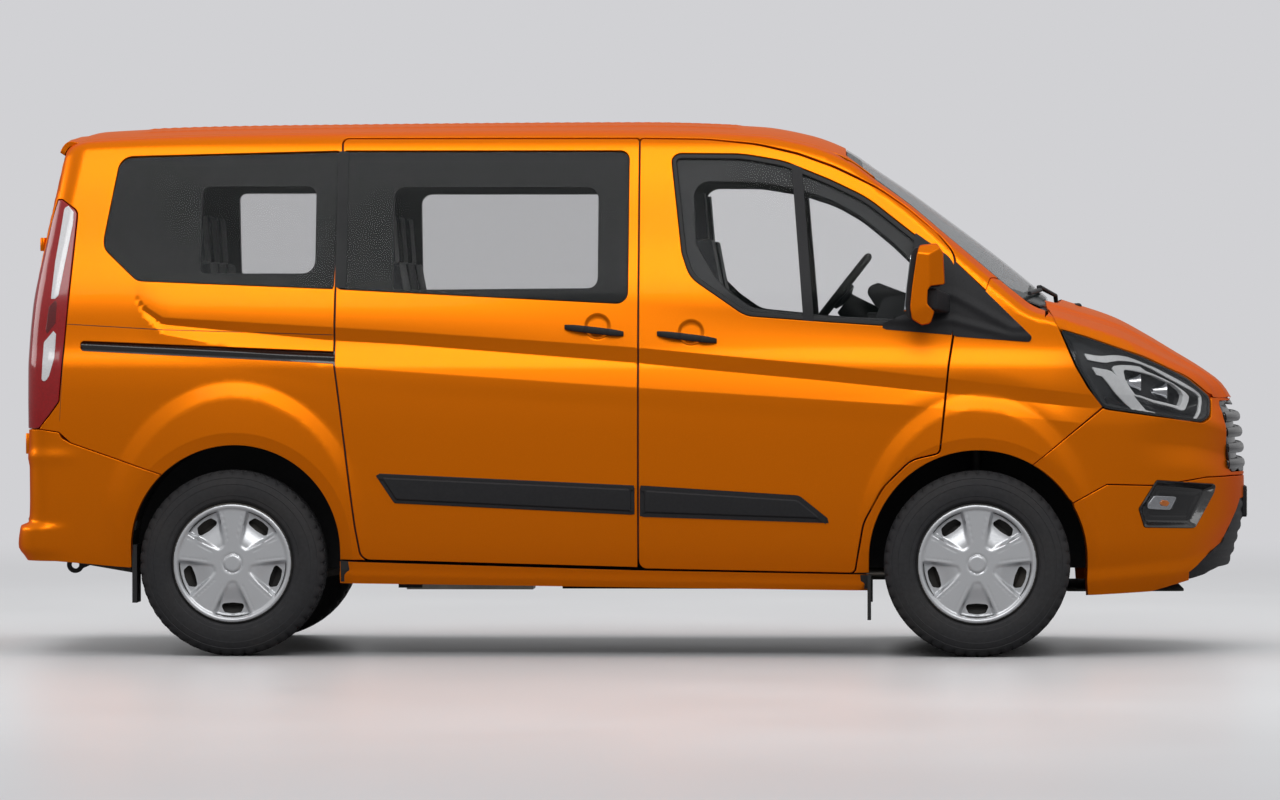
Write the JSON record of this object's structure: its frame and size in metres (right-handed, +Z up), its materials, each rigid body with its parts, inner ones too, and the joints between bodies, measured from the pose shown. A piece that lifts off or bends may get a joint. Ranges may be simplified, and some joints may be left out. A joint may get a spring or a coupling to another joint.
{
  "type": "minibus",
  "caption": "Compact glazed minibus with sliding side doors, twin rear doors, a short sloping bonnet and three rows of seats.",
  "frame": {"origin": "on the ground, at the centre of the vehicle's length and width", "axes": "+X forwards along the length, +Y to the vehicle's left, +Z up"},
  "size_m": [4.8, 2.32, 2.0839],
  "materials": {
    "paint": "metallic",
    "underbody": "satin",
    "dark_plastic": "matte",
    "grille_black": "gloss",
    "lamp_clear": "gloss",
    "lamp_red": "gloss",
    "window": "gloss",
    "tyre": "matte",
    "wheel_silver": "satin",
    "steel": "satin",
    "exhaust_steel": "satin",
    "seat_cloth": "woven",
    "trim": "matte",
    "wheel_rim_grip": "satin"
  },
  "bodies": {
    "body": {"body_side_left": "paint", "body_side_right": "paint", "cowl": "dark_plastic", "dashboard": "trim", "engine": "steel", "exhaust": "exhaust_steel", "floor_pan": "underbody", "front_bumper": "paint", "front_seats": "seat_cloth", "front_subframe": "steel", "front_valance": "dark_plastic", "front_wings": "paint", "fuel_tank": "dark_plastic", "grille": "grille_black", "headlamps": "lamp_clear", "mud_flaps": "dark_plastic", "rear_axle": "steel", "rear_bumper": "paint", "rear_seats": "seat_cloth", "roof": "paint", "side_windows": "window", "sliding_door_left": "paint", "sliding_door_right": "paint", "tail_lamps": "lamp_red", "wheel_housings": "dark_plastic", "windscreen": "window", "wipers": "dark_plastic"},
    "wheel_front_left": {"tyre_front_left": "tyre", "wheel_front_left": "wheel_silver"},
    "wheel_front_right": {"tyre_front_right": "tyre", "wheel_front_right": "wheel_silver"},
    "wheel_rear_left": {"tyre_rear_left": "tyre", "wheel_rear_left": "wheel_silver"},
    "wheel_rear_right": {"tyre_rear_right": "tyre", "wheel_rear_right": "wheel_silver"},
    "steered_left": {"knuckle_left": "steel"},
    "steered_right": {"knuckle_right": "steel"},
    "steering_wheel": {"steering_wheel": "wheel_rim_grip"},
    "front_door_left": {"front_door_left": "paint", "front_door_glass_left": "window", "mirror_left": "paint"},
    "rear_door_left": {"rear_door_left": "paint", "rear_door_glass_left": "window"},
    "front_door_right": {"front_door_right": "paint", "front_door_glass_right": "window", "mirror_right": "paint"},
    "rear_door_right": {"rear_door_right": "paint", "rear_door_glass_right": "window"},
    "bonnet": {"bonnet": "paint"}
  },
  "joints": [
    {"name": "front_left_wheel_spin", "type": "hinge", "parent": "steered_left", "child": "wheel_front_left", "pos_m": [1.347, 0.853, 0.36], "axis": [0, 1, 0], "continuous": true},
    {"name": "front_right_wheel_spin", "type": "hinge", "parent": "steered_right", "child": "wheel_front_right", "pos_m": [1.347, -0.853, 0.36], "axis": [0, 1, 0], "continuous": true},
    {"name": "rear_left_wheel_spin", "type": "hinge", "parent": "body", "child": "wheel_rear_left", "pos_m": [-1.533, 0.853, 0.36], "axis": [0, 1, 0], "continuous": true},
    {"name": "rear_right_wheel_spin", "type": "hinge", "parent": "body", "child": "wheel_rear_right", "pos_m": [-1.533, -0.853, 0.36], "axis": [0, 1, 0], "continuous": true},
    {"name": "steer_left", "type": "hinge", "parent": "body", "child": "steered_left", "pos_m": [1.347, 0.775, 0.36], "axis": [0, 0, 1], "range_deg": [-35, 35]},
    {"name": "steer_right", "type": "hinge", "parent": "body", "child": "steered_right", "pos_m": [1.347, -0.775, 0.36], "axis": [0, 0, 1], "range_deg": [-35, 35]},
    {"name": "steering_wheel_turn", "type": "hinge", "parent": "body", "child": "steering_wheel", "pos_m": [0.80544, 0.4, 1.40688], "axis": [-0.788, 0, 0.6157], "range_deg": [-530, 530]},
    {"name": "front_door_left_hinge", "type": "hinge", "parent": "body", "child": "front_door_left", "pos_m": [1.261, 0.989, 0.9], "axis": [0, 0, -1], "range_deg": [0, 70]},
    {"name": "rear_door_left_hinge", "type": "hinge", "parent": "body", "child": "rear_door_left", "pos_m": [-2.38, 0.805, 1.2], "axis": [0, 0, -1], "range_deg": [0, 180]},
    {"name": "front_door_right_hinge", "type": "hinge", "parent": "body", "child": "front_door_right", "pos_m": [1.261, -0.989, 0.9], "axis": [0, 0, 1], "range_deg": [0, 70]},
    {"name": "rear_door_right_hinge", "type": "hinge", "parent": "body", "child": "rear_door_right", "pos_m": [-2.38, -0.805, 1.2], "axis": [0, 0, 1], "range_deg": [0, 180]},
    {"name": "bonnet_hinge", "type": "hinge", "parent": "body", "child": "bonnet", "pos_m": [1.606, 0, 1.392], "axis": [0, -1, 0], "range_deg": [0, 50]}
  ],
  "couplings": [
    {"joint": "steer_left", "follows": "steer_right", "ratio": 1},
    {"joint": "steering_wheel_turn", "follows": "steer_right", "ratio": 15}
  ]
}
